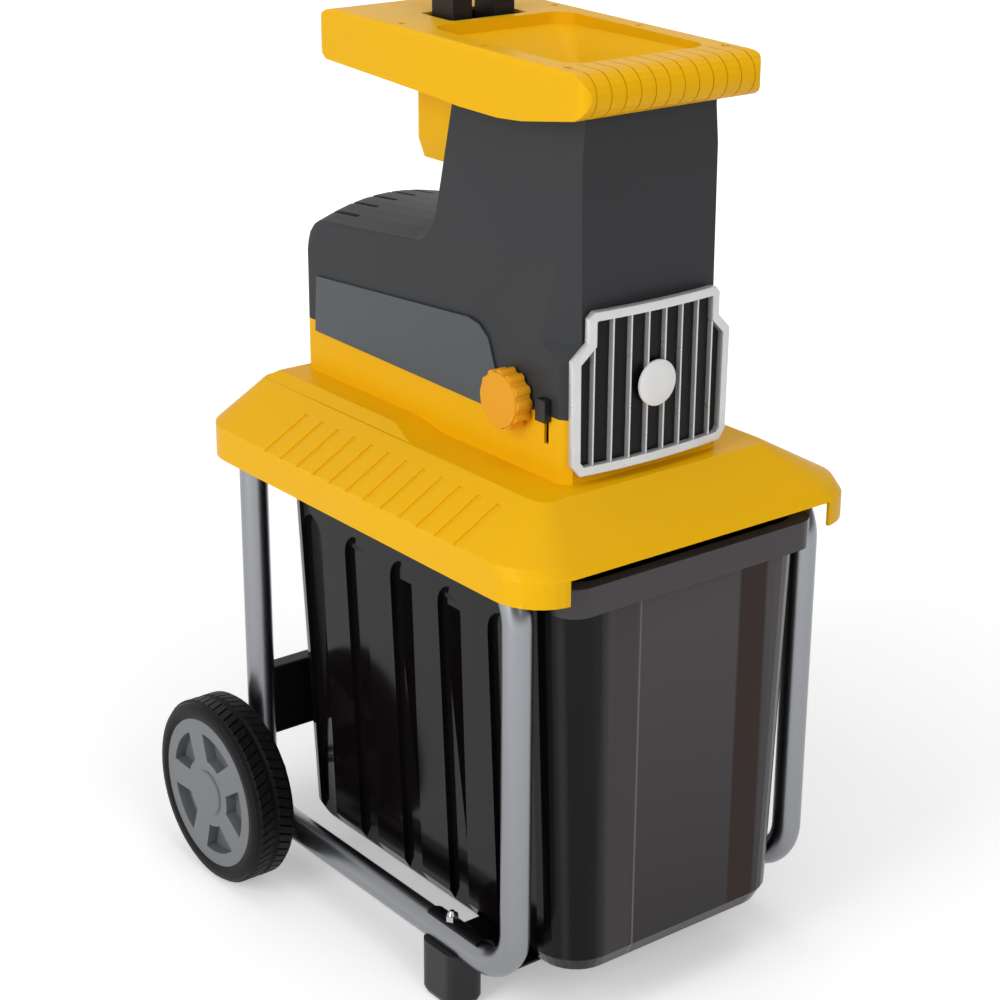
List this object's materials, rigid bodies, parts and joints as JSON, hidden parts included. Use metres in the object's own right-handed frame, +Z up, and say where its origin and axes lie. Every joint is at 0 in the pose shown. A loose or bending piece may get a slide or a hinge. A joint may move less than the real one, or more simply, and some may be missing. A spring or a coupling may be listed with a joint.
{
  "type": "garden shredder",
  "caption": "Yellow electric garden shredder with a tray hopper, tall motor housing, slide-out collection box and a two-wheeled tube frame.",
  "frame": {"origin": "floor under the middle of the machine, at the centre of its bounding box's bottom", "axes": "+X to the right as seen from the front, +Y to the rear where the wheels are, +Z up"},
  "size_m": [0.494, 0.584, 1.01],
  "materials": {
    "frame_silver": "satin",
    "black_steel": "satin",
    "zinc_steel": "satin",
    "black_plastic": "matte",
    "tyre_rubber": "matte",
    "wheel_grey": "satin",
    "yellow_plastic": "satin",
    "smoked_box": "gloss",
    "charcoal_plastic": "satin",
    "panel_grey": "satin",
    "grille_silver": "satin",
    "badge_white": "gloss",
    "screw_steel": "satin",
    "chute_plastic": "satin",
    "motor_paint": "satin",
    "cast_metal": "cast",
    "core_steel": "machined",
    "tool_steel": "ground",
    "knob_orange": "satin",
    "capacitor_white": "satin",
    "start_green": "gloss",
    "stop_red": "gloss",
    "selector_grey": "satin"
  },
  "bodies": {
    "machine": {"left_frame_tube": "frame_silver", "right_frame_tube": "frame_silver", "left_frame_bends": "frame_silver", "right_frame_bends": "frame_silver", "front_cross_plate": "black_steel", "rear_cross_beam": "black_steel", "stub_axles": "zinc_steel", "left_foot": "black_plastic", "right_foot": "black_plastic", "frame_bolts": "zinc_steel", "base_cover": "yellow_plastic", "guide_rails": "zinc_steel", "lower_housing": "yellow_plastic", "upper_housing": "charcoal_plastic", "left_trim_panel": "panel_grey", "right_trim_panel": "panel_grey", "front_grille": "grille_silver", "grille_backing": "black_plastic", "grille_badge": "badge_white", "case_screws": "screw_steel", "hopper_lower": "yellow_plastic", "hopper_upper": "yellow_plastic", "feed_chute": "chute_plastic", "motor_case": "motor_paint", "motor_rear_shield": "cast_metal", "motor_stator": "core_steel", "motor_bearings": "core_steel", "gearbox_case": "cast_metal", "gearbox_cover": "cast_metal", "gearbox_bearings": "core_steel", "front_drum_bearing": "core_steel", "cutter_chamber": "tool_steel", "run_capacitor": "capacitor_white", "switch_box": "black_plastic", "power_inlet": "black_plastic", "interlock_switch": "black_plastic"},
    "left_wheel": {"left_tyre": "tyre_rubber", "left_wheel_rim": "wheel_grey", "left_hub_cap": "wheel_grey"},
    "right_wheel": {"right_tyre": "tyre_rubber", "right_wheel_rim": "wheel_grey", "right_hub_cap": "wheel_grey"},
    "box": {"collection_box": "smoked_box"},
    "plunger": {"plunger": "black_plastic", "plunger_grip": "black_plastic"},
    "rotor": {"motor_rotor": "zinc_steel", "motor_fan": "black_plastic", "motor_pinion": "core_steel"},
    "layshaft": {"intermediate_gear": "core_steel", "intermediate_shaft": "zinc_steel"},
    "drum": {"output_gear": "core_steel", "cutter_shaft": "zinc_steel", "cutter_drum": "tool_steel"},
    "knob": {"adjusting_spindle": "zinc_steel", "adjusting_knob": "knob_orange"},
    "plate": {"pressure_plate": "cast_metal"},
    "start": {"start_button": "start_green"},
    "stop": {"stop_button": "stop_red"},
    "selector": {"direction_selector": "selector_grey"},
    "lock": {"lock_slider": "black_plastic"}
  },
  "joints": [
    {"name": "left_wheel_spin", "type": "hinge", "parent": "machine", "child": "left_wheel", "pos_m": [-0.222, 0.192, 0.1], "axis": [1, 0, 0], "continuous": true},
    {"name": "right_wheel_spin", "type": "hinge", "parent": "machine", "child": "right_wheel", "pos_m": [0.222, 0.192, 0.1], "axis": [1, 0, 0], "continuous": true},
    {"name": "box_slide", "type": "slide", "parent": "machine", "child": "box", "axis": [0, -1, 0], "range_m": [0, 0.38]},
    {"name": "plunger_lift", "type": "slide", "parent": "machine", "child": "plunger", "axis": [0, 0, 1], "range_m": [0, 0.18]},
    {"name": "rotor_spin", "type": "hinge", "parent": "machine", "child": "rotor", "pos_m": [0, 0.06, 0.632], "axis": [0, 1, 0], "continuous": true},
    {"name": "layshaft_spin", "type": "hinge", "parent": "machine", "child": "layshaft", "pos_m": [0.03568, -0.06, 0.65415], "axis": [0, 1, 0], "continuous": true},
    {"name": "drum_spin", "type": "hinge", "parent": "machine", "child": "drum", "pos_m": [0.014, -0.133, 0.595], "axis": [0, 1, 0], "continuous": true},
    {"name": "knob_turn", "type": "hinge", "parent": "machine", "child": "knob", "pos_m": [-0.106, -0.133, 0.595], "axis": [1, 0, 0], "range_deg": [-378, 378]},
    {"name": "plate_feed", "type": "slide", "parent": "machine", "child": "plate", "axis": [1, 0, 0], "range_m": [-0.0015, 0.0015]},
    {"name": "start_press", "type": "slide", "parent": "machine", "child": "start", "axis": [0, -1, 0], "range_m": [0, 0.003], "stiffness_N_per_m": 600, "springref_m": -0.002},
    {"name": "stop_press", "type": "slide", "parent": "machine", "child": "stop", "axis": [0, -1, 0], "range_m": [0, 0.003], "stiffness_N_per_m": 600, "springref_m": -0.002},
    {"name": "selector_turn", "type": "hinge", "parent": "machine", "child": "selector", "pos_m": [0, 0.22, 0.616], "axis": [0, 1, 0], "range_deg": [-45, 45]},
    {"name": "lock_slide", "type": "slide", "parent": "machine", "child": "lock", "axis": [0, 0, 1], "range_m": [-0.018, 0]}
  ],
  "couplings": [
    {"joint": "layshaft_spin", "follows": "rotor_spin", "ratio": -0.16667},
    {"joint": "drum_spin", "follows": "rotor_spin", "ratio": 0.027778},
    {"joint": "knob_turn", "follows": "plate_feed", "rad_per_m": 4188.8}
  ]
}
